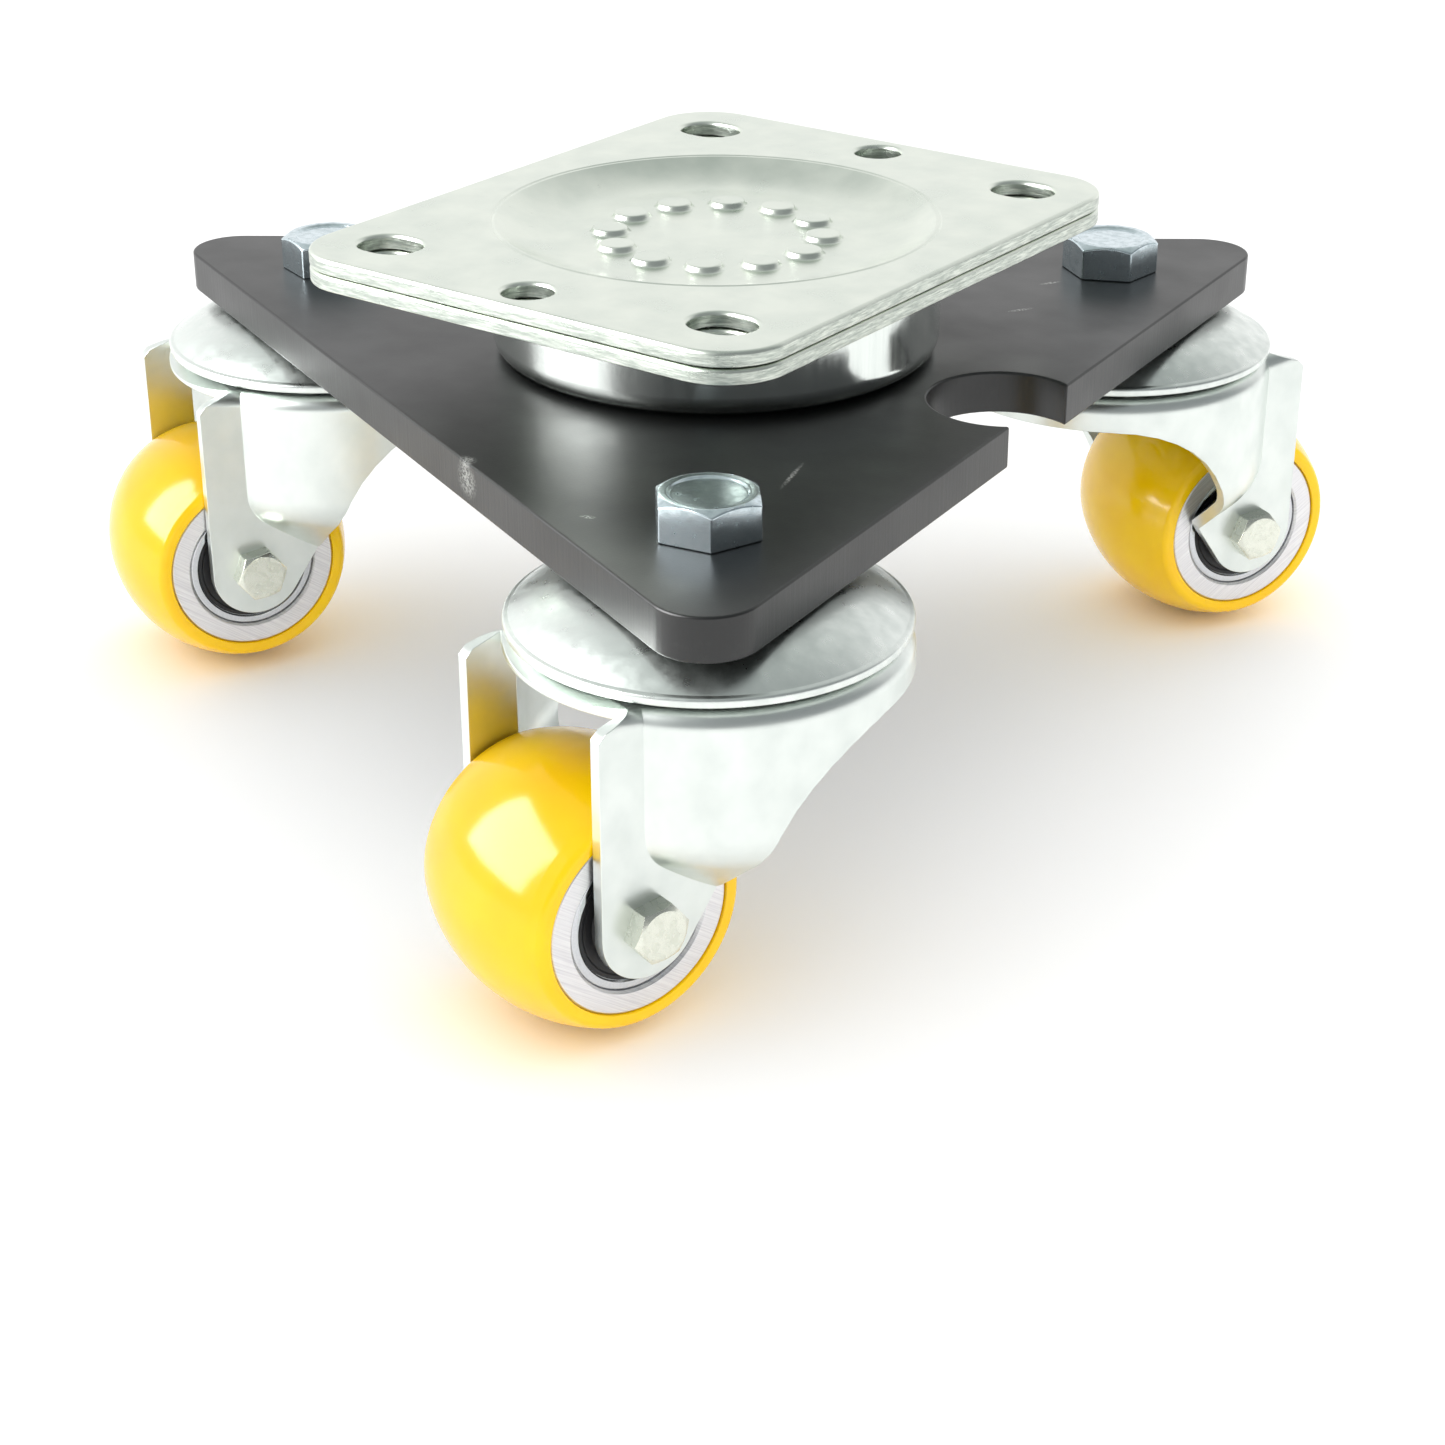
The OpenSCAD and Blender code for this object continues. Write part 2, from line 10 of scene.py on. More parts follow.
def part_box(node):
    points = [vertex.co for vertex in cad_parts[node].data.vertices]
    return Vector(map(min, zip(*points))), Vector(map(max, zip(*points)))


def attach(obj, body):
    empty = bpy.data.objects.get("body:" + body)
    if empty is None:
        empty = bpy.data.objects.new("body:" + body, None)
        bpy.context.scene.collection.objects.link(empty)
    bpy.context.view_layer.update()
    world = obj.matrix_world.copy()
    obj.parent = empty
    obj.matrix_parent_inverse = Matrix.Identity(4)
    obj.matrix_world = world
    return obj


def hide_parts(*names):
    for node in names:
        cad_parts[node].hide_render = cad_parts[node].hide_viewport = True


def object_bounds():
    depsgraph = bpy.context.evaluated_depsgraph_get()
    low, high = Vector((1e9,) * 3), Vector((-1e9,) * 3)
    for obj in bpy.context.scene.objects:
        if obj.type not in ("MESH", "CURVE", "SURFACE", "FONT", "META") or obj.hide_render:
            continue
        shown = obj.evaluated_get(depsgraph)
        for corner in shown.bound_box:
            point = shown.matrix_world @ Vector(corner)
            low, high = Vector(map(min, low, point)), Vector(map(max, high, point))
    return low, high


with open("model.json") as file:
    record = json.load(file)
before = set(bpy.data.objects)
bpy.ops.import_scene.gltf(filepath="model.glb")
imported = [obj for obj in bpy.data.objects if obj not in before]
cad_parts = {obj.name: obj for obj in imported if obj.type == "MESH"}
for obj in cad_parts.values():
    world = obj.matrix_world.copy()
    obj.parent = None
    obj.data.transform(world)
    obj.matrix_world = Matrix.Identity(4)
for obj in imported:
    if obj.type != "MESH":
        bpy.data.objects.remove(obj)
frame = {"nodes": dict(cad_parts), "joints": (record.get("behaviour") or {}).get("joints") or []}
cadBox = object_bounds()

mm = 0.001
corners = ["front", "right", "left"]
nodes = frame["nodes"]
print("frame loaded:", len(nodes), "nodes")


# ---- helpers ----

def hexColour(text):
    # sRGB hex to the linear colour that the shaders want
    parts = [int(text[i:i + 2], 16) / 255 for i in (1, 3, 5)]
    return [c / 12.92 if c <= 0.04045 else ((c + 0.055) / 1.055) ** 2.4 for c in parts] + [1]


def addNode(tree, kind, inputs, out=0, **settings):
    # a node with its settings; an input is a value, or another node's output to link to
    made = tree.nodes.new(kind)
    for name, value in settings.items():
        setattr(made, name, value)
    for name, value in inputs.items():
        if isinstance(value, bpy.types.NodeSocket):
            tree.links.new(value, made.inputs[name])
        else:
            made.inputs[name].default_value = value
    return made.outputs[out]


def newMaterial(name, **fixed):
    # a material with its shader's plain sockets set; also gives back its tree, shader and object coordinates
    made = bpy.data.materials.new(name)
    made.use_nodes = True
    tree = made.node_tree
    shader = tree.nodes["Principled BSDF"]
    for socket, value in fixed.items():
        shader.inputs[socket.replace("_", " ")].default_value = value
    return made, tree, shader, addNode(tree, "ShaderNodeTexCoord", {}, "Object")


def finishShader(tree, shader, **links):
    for socket, value in links.items():
        tree.links.new(value, shader.inputs[socket.replace("_", " ")])


def per(size):
    # a pattern's scale from its real size in mm, one number or one for each axis
    return 1 / (size * mm) if isinstance(size, (int, float)) else [1 / (s * mm) for s in size]


def uprightFaces(tree):
    # 1 on upright faces and 0 on level ones, for the marks on a plate's cut sides
    facing = addNode(tree, "ShaderNodeTexCoord", {}, "Normal")
    height = addNode(tree, "ShaderNodeSeparateXYZ", {"Vector": facing}, "Z")
    level = addNode(tree, "ShaderNodeMath", {0: height}, operation="ABSOLUTE")
    return addNode(tree, "ShaderNodeMapRange", {
        "Value": level, "From Min": 0.2, "From Max": 0.6, "To Min": 1.0, "To Max": 0.0})


# ---- finishes ----

zincSheet = {
    "pale": "#e9eee4",
    "dull": "#dae1d7",
    "stain": "#aab1a7",
    "edge": "#aeb6ae",
    "roughness": (0.26, 0.36),
    # sizes in mm, along x, y and z where there are three
    "cloud": 11.0,
    "crystal": 0.35,  # about 0.05 mm on real zinc, drawn larger so that it shows
    "fleck": 1.8,
    "rolling": (0.5, 14.0, 0.5),
    "tear": (5, 5, 0.45),  # a band along the sheared edge
    # depths in mm
    "crystalDepth": 0.007,
    "rollingDepth": 0.008,
    "tearDepth": 0.1,
}


def zincPlatedSheet():
    # electro-zinc over rolled sheet: frosty and nearly white, with faint clouds, pits and a torn sheared edge
    made, tree, shader, place = newMaterial("zincPlatedRolledSheet", Metallic=1.0)
    cloud = addNode(tree, "ShaderNodeTexNoise", {
        "Vector": place, "Scale": per(zincSheet["cloud"]), "Detail": 4.0})
    grain = addNode(tree, "ShaderNodeTexNoise", {
        "Vector": place, "Scale": per(zincSheet["crystal"]), "Detail": 2.0})
    lines = addNode(tree, "ShaderNodeMapping", {"Vector": place, "Scale": per(zincSheet["rolling"])})
    line = addNode(tree, "ShaderNodeTexNoise", {"Vector": lines, "Scale": 1.0, "Detail": 2.0})
    shade = addNode(tree, "ShaderNodeMapRange", {"Value": cloud, "From Min": 0.35, "From Max": 0.65})
    clouded = addNode(tree, "ShaderNodeMix", {
        0: shade, 6: hexColour(zincSheet["dull"]), 7: hexColour(zincSheet["pale"])}, 2, data_type="RGBA")
    # small specks of stain, with a few wider smudges
    fleck = addNode(tree, "ShaderNodeTexNoise", {
        "Vector": place, "Scale": per(zincSheet["fleck"]), "Detail": 5.0, "Roughness": 0.7})
    speck = addNode(tree, "ShaderNodeMapRange", {
        "Value": fleck, "From Min": 0.66, "From Max": 0.78, "To Max": 0.5})
    stained = addNode(tree, "ShaderNodeMix", {
        0: speck, 6: clouded, 7: hexColour(zincSheet["stain"])}, 2, data_type="RGBA")
    low, high = zincSheet["roughness"]
    gloss = addNode(tree, "ShaderNodeMapRange", {
        "Value": cloud, "From Min": 0.3, "From Max": 0.7, "To Min": low, "To Max": high})
    # upright faces are sheared: bright and torn bands run along them
    upright = uprightFaces(tree)
    marks = addNode(tree, "ShaderNodeMapping", {"Vector": place, "Scale": per(zincSheet["tear"])})
    tear = addNode(tree, "ShaderNodeTexNoise", {
        "Vector": marks, "Scale": 1.0, "Detail": 4.0, "Roughness": 0.7})
    torn = addNode(tree, "ShaderNodeMath", {0: tear, 1: upright}, operation="MULTIPLY")
    worn = addNode(tree, "ShaderNodeMapRange", {"Value": torn, "From Min": 0.35, "From Max": 0.6})
    colour = addNode(tree, "ShaderNodeMix", {
        0: worn, 6: stained, 7: hexColour(zincSheet["edge"])}, 2, data_type="RGBA")
    frost = addNode(tree, "ShaderNodeBump", {
        "Height": grain, "Strength": 1.0, "Distance": zincSheet["crystalDepth"] * mm})
    rolled = addNode(tree, "ShaderNodeBump", {
        "Height": line, "Normal": frost, "Strength": 1.0, "Distance": zincSheet["rollingDepth"] * mm})
    normal = addNode(tree, "ShaderNodeBump", {
        "Height": torn, "Normal": rolled, "Strength": 1.0, "Distance": zincSheet["tearDepth"] * mm})
    finishShader(tree, shader, Base_Color=colour, Roughness=gloss, Normal=normal)
    return made


pressedZinc = {
    "pale": "#eaefeb",
    "dull": "#e0e6e2",
    "cloud": 6.0,  # mm
    "cloudDepth": 0.009,  # mm
    # for each part: roughness, the orange peel's size and depth, and the pulled grain's size, in mm
    "drum": ((0.12, 0.2), 1.3, 0.006, (1.2, 1.2, 30)),
    "cap": ((0.27, 0.38), 0.6, 0.006, (3, 3, 3)),
    "fork": ((0.28, 0.36), 0.8, 0.005, (7, 7, 9)),
}


def zincPlatedPressing(name, part):
    # zinc over drawn steel: brighter than flat sheet, its skin stretched into a fine orange peel
    made, tree, shader, place = newMaterial(name, Metallic=1.0)
    (low, high), peel, depth, pull = pressedZinc[part]
    cloud = addNode(tree, "ShaderNodeTexNoise", {
        "Vector": place, "Scale": per(pressedZinc["cloud"]), "Detail": 5.0})
    grain = addNode(tree, "ShaderNodeMapping", {"Vector": place, "Scale": per(pull)})
    pulled = addNode(tree, "ShaderNodeTexNoise", {"Vector": grain, "Scale": 1.0, "Detail": 3.0})
    # the stretched crystals are about 0.1 mm, drawn coarser so that they show
    skin = addNode(tree, "ShaderNodeTexNoise", {"Vector": place, "Scale": per(peel), "Detail": 2.0})
    mixed = addNode(tree, "ShaderNodeMath", {0: cloud, 1: 0.4, 2: pulled}, operation="MULTIPLY_ADD")
    shade = addNode(tree, "ShaderNodeMapRange", {"Value": mixed, "From Min": 0.5, "From Max": 0.9})
    colour = addNode(tree, "ShaderNodeMix", {
        0: shade, 6: hexColour(pressedZinc["dull"]), 7: hexColour(pressedZinc["pale"])}, 2, data_type="RGBA")
    gloss = addNode(tree, "ShaderNodeMapRange", {
        "Value": mixed, "From Min": 0.5, "From Max": 0.9, "To Min": high, "To Max": low})
    wavy = addNode(tree, "ShaderNodeBump", {
        "Height": cloud, "Strength": 1.0, "Distance": pressedZinc["cloudDepth"] * mm})
    normal = addNode(tree, "ShaderNodeBump", {
        "Height": skin, "Normal": wavy, "Strength": 1.0, "Distance": depth * mm})
    finishShader(tree, shader, Base_Color=colour, Roughness=gloss, Normal=normal)
    return made


boltPlating = {
    "castor": ("#dbe7ec", "#c6d4d9", (0.16, 0.28)),  # tone, stain, roughness
    "axle": ("#e9ebdf", "#dfe2d5", (0.2, 0.32)),
    "stain": 1.6,  # mm across a stain
    "stainDepth": 0.007,  # mm
    "dieSkin": 0.45,  # the forging die's skin is about 0.1 mm, drawn at 0.45 mm so that it shows
    "dieSkinDepth": 0.003,  # mm
}


def passivatedZinc(name, part):
    # cold-forged steel in passivated zinc: glossy, with faint stains that are a little duller
    made, tree, shader, place = newMaterial(name, Metallic=1.0)
    tone, stain, (low, high) = boltPlating[part]
    cloud = addNode(tree, "ShaderNodeTexNoise", {
        "Vector": place, "Scale": per(boltPlating["stain"]), "Detail": 5.0})
    skin = addNode(tree, "ShaderNodeTexNoise", {
        "Vector": place, "Scale": per(boltPlating["dieSkin"]), "Detail": 3.0})
    shade = addNode(tree, "ShaderNodeMapRange", {"Value": cloud, "From Min": 0.35, "From Max": 0.6})
    colour = addNode(tree, "ShaderNodeMix", {
        0: shade, 6: hexColour(stain), 7: hexColour(tone)}, 2, data_type="RGBA")
    gloss = addNode(tree, "ShaderNodeMapRange", {
        "Value": cloud, "From Min": 0.3, "From Max": 0.7, "To Min": high, "To Max": low})
    wavy = addNode(tree, "ShaderNodeBump", {
        "Height": cloud, "Strength": 1.0, "Distance": boltPlating["stainDepth"] * mm})
    normal = addNode(tree, "ShaderNodeBump", {
        "Height": skin, "Normal": wavy, "Strength": 1.0, "Distance": boltPlating["dieSkinDepth"] * mm})
    finishShader(tree, shader, Base_Color=colour, Roughness=gloss, Normal=normal)
    return made


blackPlate = {
    "black": "#101111",
    "rubbed": "#1e1f1e",
    "bare": "#b9bbb6",
    "roughness": (0.3, 0.4),
    # sizes in mm
    "cloud": 18,
    "grain": 0.5,  # about 0.1 mm on a real coating, drawn larger so that it shows
    "rub": 3,
    "cutLines": (0.8, 0.8, 40),  # drag lines down the flame-cut sides
    # depths in mm
    "cloudDepth": 0.05,
    "grainDepth": 0.012,
    "cutDepth": 0.03,
    # bruises that went through to the steel: x, y, z, length and width in mm, turn in degrees
    "bruises": [
        (2.3, -80.7, -30.0, 3, 9, 66), (1.8, -80.0, -26.5, 4, 5, 66), (36.7, -88.1, -26.5, 3.5, 1.6, 20),
        (39.7, 54.3, -26.5, 7, 1.6, 60), (35.6, 73.9, -26.5, 6, 1.4, 60), (54.5, -51.0, -26.5, 1.2, 15, 17),
    ],
}


def blackenedPlate():
    # burnished black on flame-cut plate: satin with broad reflections, lined sides and a few bruises
    made, tree, shader, place = newMaterial("blackenedSteelPlate", Metallic=0.0, IOR=1.6)
    cloud = addNode(tree, "ShaderNodeTexNoise", {
        "Vector": place, "Scale": per(blackPlate["cloud"]), "Detail": 4.0})
    grain = addNode(tree, "ShaderNodeTexNoise", {
        "Vector": place, "Scale": per(blackPlate["grain"]), "Detail": 3.0})
    rub = addNode(tree, "ShaderNodeTexNoise", {
        "Vector": place, "Scale": per(blackPlate["rub"]), "Detail": 6.0, "Roughness": 0.75})
    rubbed = addNode(tree, "ShaderNodeMapRange", {"Value": rub, "From Min": 0.55, "From Max": 0.8})
    colour = addNode(tree, "ShaderNodeMix", {
        0: rubbed, 6: hexColour(blackPlate["black"]), 7: hexColour(blackPlate["rubbed"])},
        2, data_type="RGBA")
    for x, y, z, length, width, turn in blackPlate["bruises"]:
        spot = addNode(tree, "ShaderNodeMapping", {
            "Vector": place, "Location": (x * mm, y * mm, z * mm), "Rotation": (0, 0, math.radians(turn)),
            "Scale": (length / 2 * mm, width / 2 * mm, 4 * mm)}, vector_type="TEXTURE")
        away = addNode(tree, "ShaderNodeVectorMath", {0: spot}, "Value", operation="LENGTH")
        near = addNode(tree, "ShaderNodeMapRange", {
            "Value": away, "From Min": 0.3, "From Max": 1.0, "To Min": 0.75, "To Max": 0.0})
        broken = addNode(tree, "ShaderNodeMapRange", {"Value": grain, "From Min": 0.4, "From Max": 0.6})
        mark = addNode(tree, "ShaderNodeMath", {0: near, 1: broken}, operation="MULTIPLY")
        colour = addNode(tree, "ShaderNodeMix", {
            0: mark, 6: colour, 7: hexColour(blackPlate["bare"])}, 2, data_type="RGBA")
    low, high = blackPlate["roughness"]
    gloss = addNode(tree, "ShaderNodeMapRange", {
        "Value": cloud, "From Min": 0.3, "From Max": 0.7, "To Min": low, "To Max": high})
    upright = uprightFaces(tree)
    lines = addNode(tree, "ShaderNodeMapping", {"Vector": place, "Scale": per(blackPlate["cutLines"])})
    line = addNode(tree, "ShaderNodeTexNoise", {"Vector": lines, "Scale": 1.0, "Detail": 3.0})
    drag = addNode(tree, "ShaderNodeMath", {0: line, 1: upright}, operation="MULTIPLY")
    fine = addNode(tree, "ShaderNodeBump", {
        "Height": grain, "Strength": 1.0, "Distance": blackPlate["grainDepth"] * mm})
    wavy = addNode(tree, "ShaderNodeBump", {
        "Height": cloud, "Normal": fine, "Strength": 1.0, "Distance": blackPlate["cloudDepth"] * mm})
    normal = addNode(tree, "ShaderNodeBump", {
        "Height": drag, "Normal": wavy, "Strength": 1.0, "Distance": blackPlate["cutDepth"] * mm})
    finishShader(tree, shader, Base_Color=colour, Roughness=gloss, Normal=normal)
    return made


tread = {
    "yellow": "#ffd000",
    "deep": "#fac400",
    "roughness": (0.12, 0.19),
    # sizes and depths in mm
    "cloud": 16,
    "scuff": (0.8, 0.8, 7),  # a handling mark
    "cloudDepth": 0.04,
    "scuffDepth": 0.002,
}


def castPolyurethane():
    # polyurethane cast in a polished mould: deep even yellow, glossy, light soaking a little into its skin
    made, tree, shader, place = newMaterial(
        "castYellowPolyurethane", IOR=1.5, Subsurface_Weight=0.12, Subsurface_Scale=1.0 * mm,
        Subsurface_Radius=(1.0, 0.85, 0.12))
    cloud = addNode(tree, "ShaderNodeTexNoise", {
        "Vector": place, "Scale": per(tread["cloud"]), "Detail": 3.0})
    scuffs = addNode(tree, "ShaderNodeMapping", {"Vector": place, "Scale": per(tread["scuff"])})
    scuff = addNode(tree, "ShaderNodeTexNoise", {
        "Vector": scuffs, "Scale": 1.0, "Detail": 4.0, "Roughness": 0.7})
    shade = addNode(tree, "ShaderNodeMapRange", {"Value": cloud, "From Min": 0.3, "From Max": 0.7})
    colour = addNode(tree, "ShaderNodeMix", {
        0: shade, 6: hexColour(tread["deep"]), 7: hexColour(tread["yellow"])}, 2, data_type="RGBA")
    low, high = tread["roughness"]
    gloss = addNode(tree, "ShaderNodeMapRange", {
        "Value": scuff, "From Min": 0.35, "From Max": 0.75, "To Min": low, "To Max": high})
    wavy = addNode(tree, "ShaderNodeBump", {
        "Height": cloud, "Strength": 1.0, "Distance": tread["cloudDepth"] * mm})
    normal = addNode(tree, "ShaderNodeBump", {
        "Height": scuff, "Normal": wavy, "Strength": 1.0, "Distance": tread["scuffDepth"] * mm})
    finishShader(tree, shader, Base_Color=colour, Roughness=gloss, Normal=normal)
    return made


hubFace = {
    "tone": "#f6f5f6",
    "shadow": "#dad8dc",
    # a scratch's size in mm; real ones are about 0.05 mm wide, drawn wider so that they show
    "line": (0.24, 18.0, 6.0),
    "lineDepth": 0.014,  # mm
    "turn": 35,  # degrees
    "roughness": (0.34, 0.5),
}


def sandedAluminium():
    # wrought aluminium faced on a belt: pale, with straight fine scratches in one direction
    made, tree, shader, place = newMaterial("sandedAluminium", Metallic=1.0)
    flat = addNode(tree, "ShaderNodeUVMap", {}, uv_map="sanding")
    turned = addNode(tree, "ShaderNodeMapping", {
        "Vector": flat, "Rotation": (0, 0, math.radians(hubFace["turn"]))})
    lines = addNode(tree, "ShaderNodeMapping", {"Vector": turned, "Scale": per(hubFace["line"])})
    line = addNode(tree, "ShaderNodeTexNoise", {
        "Vector": lines, "Scale": 1.0, "Detail": 3.0, "Roughness": 0.6})
    shade = addNode(tree, "ShaderNodeMapRange", {"Value": line, "From Min": 0.3, "From Max": 0.62})
    colour = addNode(tree, "ShaderNodeMix", {
        0: shade, 6: hexColour(hubFace["shadow"]), 7: hexColour(hubFace["tone"])}, 2, data_type="RGBA")
    low, high = hubFace["roughness"]
    gloss = addNode(tree, "ShaderNodeMapRange", {
        "Value": line, "From Min": 0.3, "From Max": 0.7, "To Min": low, "To Max": high})
    normal = addNode(tree, "ShaderNodeBump", {
        "Height": line, "Strength": 1.0, "Distance": hubFace["lineDepth"] * mm})
    finishShader(tree, shader, Base_Color=colour, Roughness=gloss, Normal=normal)
    return made


# for each turned or ground metal: dark and light tone, roughness, size of its tool marks in mm
turnedMetals = {
    "groundBearingSteel": ("#c3c5c9", "#e2e4e7", (0.1, 0.2), (0.4, 0.4, 0.4)),
    "turnedOiledSteel": ("#83868a", "#b4b7b9", (0.22, 0.36), (2.5, 2.5, 0.3)),
    "turnedBearingBronze": ("#8a6234", "#b98d55", (0.25, 0.4), (2.5, 2.5, 0.3)),
}
toolMarkDepth = 0.004  # mm


def turnedMetal(name):
    # bare metal off the lathe or grinder: bright, with fine marks round it under a film of oil
    made, tree, shader, place = newMaterial(name, Metallic=1.0)
    dark, light, (low, high), size = turnedMetals[name]
    marks = addNode(tree, "ShaderNodeMapping", {"Vector": place, "Scale": per(size)})
    mark = addNode(tree, "ShaderNodeTexNoise", {"Vector": marks, "Scale": 1.0, "Detail": 3.0})
    colour = addNode(tree, "ShaderNodeMix", {
        0: mark, 6: hexColour(dark), 7: hexColour(light)}, 2, data_type="RGBA")
    gloss = addNode(tree, "ShaderNodeMapRange", {
        "Value": mark, "From Min": 0.3, "From Max": 0.7, "To Min": low, "To Max": high})
    normal = addNode(tree, "ShaderNodeBump", {
        "Height": mark, "Strength": 1.0, "Distance": toolMarkDepth * mm})
    finishShader(tree, shader, Base_Color=colour, Roughness=gloss, Normal=normal)
    return made


rubber = {
    "black": "#0c0c0e",
    "bloom": "#222226",
    "roughness": (0.42, 0.6),
    "size": 1.2,  # mm across a patch of bloom
    "depth": 0.01,  # mm
}


def nitrileSeal():
    # moulded nitrile rubber: matt black with a faint bloom
    made, tree, shader, place = newMaterial("mouldedNitrileRubber", IOR=1.52)
    bloom = addNode(tree, "ShaderNodeTexNoise", {
        "Vector": place, "Scale": per(rubber["size"]), "Detail": 4.0})
    colour = addNode(tree, "ShaderNodeMix", {
        0: bloom, 6: hexColour(rubber["black"]), 7: hexColour(rubber["bloom"])}, 2, data_type="RGBA")
    low, high = rubber["roughness"]
    gloss = addNode(tree, "ShaderNodeMapRange", {
        "Value": bloom, "From Min": 0.3, "From Max": 0.7, "To Min": low, "To Max": high})
    normal = addNode(tree, "ShaderNodeBump", {
        "Height": bloom, "Strength": 1.0, "Distance": rubber["depth"] * mm})
    finishShader(tree, shader, Base_Color=colour, Roughness=gloss, Normal=normal)
    return made


sheetZinc = zincPlatedSheet()
drumZinc = zincPlatedPressing("zincPlatedDrawnDrum", "drum")
capZinc = zincPlatedPressing("zincPlatedPressedCap", "cap")
forkZinc = zincPlatedPressing("zincPlatedPressedFork", "fork")
boltZinc = passivatedZinc("bluePassivatedZinc", "castor")
axleZinc = passivatedZinc("clearPassivatedZinc", "axle")
platingBlack = blackenedPlate()
treadYellow = castPolyurethane()
hubMetal = sandedAluminium()
bearingMetal = turnedMetal("groundBearingSteel")
machinedMetal = turnedMetal("turnedOiledSteel")
bronzeMetal = turnedMetal("turnedBearingBronze")
sealRubber = nitrileSeal()
print("finishes made:", len(bpy.data.materials))


# ---- shapes ----

joints = {j["name"]: j for j in frame["joints"]}
weldDistance = 0.002  # mm
flatAngle = 0.4  # degrees; the facets of one flat face differ by less
sharpAngle = 35  # degrees; edges that turn by more stay sharp
nodeAngle = 28  # degrees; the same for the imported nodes, which have coarser facets


def castorSpace(corner):
    # on the swivel axis at the height of the plate's face, with X trailing towards the axle
    pivot = Vector(joints["swivel_" + corner]["pos_m"])
    trail = Vector(joints["wheel_spin_" + corner]["pos_m"]) - pivot
    turn = Matrix.Rotation(math.atan2(trail.y, trail.x), 4, "Z")
    return Matrix.Translation((pivot.x, pivot.y, 0)) @ turn


def wheelSpace(corner):
    # in the middle of the wheel, with Z along the axle
    joint = joints["wheel_spin_" + corner]
    turn = Vector(joint["axis"]).to_track_quat("Z", "X").to_matrix().to_4x4()
    return Matrix.Translation(joint["pos_m"]) @ turn


def softCorners(points, steps=4):
    # points are (x, y) or (x, y, radius); a corner with a radius becomes a smooth bend
    made = []
    for i, point in enumerate(points):
        here = Vector(point[:2])
        if len(point) == 2 or i in (0, len(points) - 1):
            made.append(here)
            continue
        before, after = Vector(points[i - 1][:2]) - here, Vector(points[i + 1][:2]) - here
        half = before.angle(after) / 2
        reach = min(point[2] / math.tan(half), 0.48 * before.length, 0.48 * after.length)
        start, end = here + before.normalized() * reach, here + after.normalized() * reach
        for k in range(steps + 1):
            u = k / steps
            made.append(start * (1 - u) ** 2 + here * 2 * u * (1 - u) + end * u ** 2)
    return made


def spin(bm, outline, segments=96, closed=False):
    # turns an outline of (radius, height) in mm round the Z axis
    rings = []
    for radius, height in outline:
        count = 1 if radius < 1e-6 else segments
        rings.append([
            bm.verts.new((radius * mm * math.cos(2 * math.pi * k / segments),
                          radius * mm * math.sin(2 * math.pi * k / segments), height * mm))
            for k in range(count)])
    pairs = list(zip(rings, rings[1:]))
    if closed:
        pairs.append((rings[-1], rings[0]))
    for first, second in pairs:
        for k in range(segments):
            corner = []
            for v in (first[k % len(first)], first[(k + 1) % len(first)],
                      second[(k + 1) % len(second)], second[k % len(second)]):
                if v not in corner:
                    corner.append(v)
            bm.faces.new(corner)
    return rings


def makePiece(name, bm, material, place, body, slotName, *replaced):
    # the place goes into the mesh, so that the object's own axes stay the dolly's
    bm.transform(place)
    bmesh.ops.recalc_face_normals(bm, faces=bm.faces)
    mesh = bpy.data.meshes.new(name)
    bm.to_mesh(mesh)
    bm.free()
    mesh.shade_smooth()
    mesh.set_sharp_from_angle(angle=math.radians(sharpAngle))
    mesh.materials.append(material)
    piece = bpy.data.objects.new(name, mesh)
    bpy.context.collection.objects.link(piece)
    shading = piece.modifiers.new("shading", "WEIGHTED_NORMAL")
    shading.keep_sharp = True
    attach(piece, body)
    if replaced:
        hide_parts(*replaced)
    return piece


def roundEdges(piece, width, angle):
    # rounds the edges that turn by more than the angle in degrees
    rounded = piece.modifiers.new("rounded", "BEVEL")
    rounded.width = width * mm
    rounded.segments = 3
    rounded.limit_method = "ANGLE"
    rounded.angle_limit = math.radians(angle)
    rounded.miter_outer = "MITER_ARC"


def softEdges(piece, width):
    # joins the facets of each flat face, then rounds the sharp edges that are left
    weld = piece.modifiers.new("weld", "WELD")
    weld.merge_threshold = weldDistance * mm
    flats = piece.modifiers.new("flats", "DECIMATE")
    flats.decimate_type = "DISSOLVE"
    flats.angle_limit = math.radians(flatAngle)
    roundEdges(piece, width, nodeAngle)
    shading = piece.modifiers.new("shading", "WEIGHTED_NORMAL")
    shading.weight = 80


def finishNode(name, material, width):
    piece = nodes[name]
    piece.data.materials.clear()
    piece.data.materials.append(material)
    if width:
        softEdges(piece, width)


# ---- mounting plates ----

# from here on sizes are in mm
plate = {
    "thickness": 3,
    "cornerRadius": 13,
    "slots": (80, 105, 11, 13.5),  # spacing along X and Y, width, length
    "roundHoles": (118, 10),  # spacing, diameter
    "dishRadius": 44,
    "dishFloor": 31,
    "dishDepth": 4,
    "rimLine": 0.22,  # depth of the coined line round the rim
    "rimDip": 0.06,  # the drop at the rim where the slope begins
    "border": 46,  # where the flat part ends and the dish's turned part begins
    "rollover": 0.8,  # the sheared edge's round upper side
    "burr": 0.25,  # the round at its lower side
    "bosses": (12, 21.5, 3.9, 1.19),  # count, circle radius, radius, height
}


def arcPoints(centre, radius, start, end, steps):
    return [Vector((centre[0] + radius * math.cos(a), centre[1] + radius * math.sin(a)))
            for a in (start + (end - start) * k / steps for k in range(steps + 1))]


